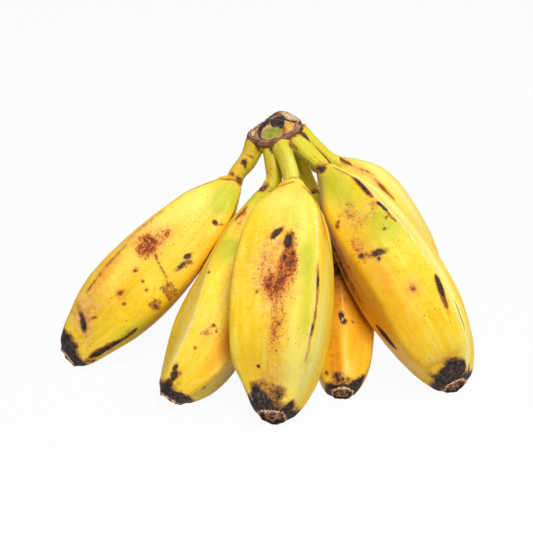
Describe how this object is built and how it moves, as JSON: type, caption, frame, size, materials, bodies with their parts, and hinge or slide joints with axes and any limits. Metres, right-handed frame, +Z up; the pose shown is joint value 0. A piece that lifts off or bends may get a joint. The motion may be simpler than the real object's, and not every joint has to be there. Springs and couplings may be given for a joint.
{
  "type": "burro banana hand",
  "caption": "Hand of stout, ridged burro bananas joined at a cut crown, standing crown up on the fingertips.",
  "frame": {"origin": "middle of the footprint, on the surface that the fingertips rest on", "axes": "+Z up through the crown, -Y towards the side with the longest fingers, +X to its right"},
  "size_m": [0.2042, 0.1992, 0.1135],
  "materials": {
    "peel": "ripe banana peel: satin, yellow with green, brown and black patches",
    "dried_stalk": "matt, fibrous, dried cut stalk"
  },
  "bodies": {
    "root": {"crown": "dried_stalk", "banana_front": "peel", "banana_front_left": "peel", "banana_left": "peel", "banana_front_right": "peel", "banana_right": "peel", "banana_back_right": "peel", "banana_back": "peel"}
  },
  "joints": []
}
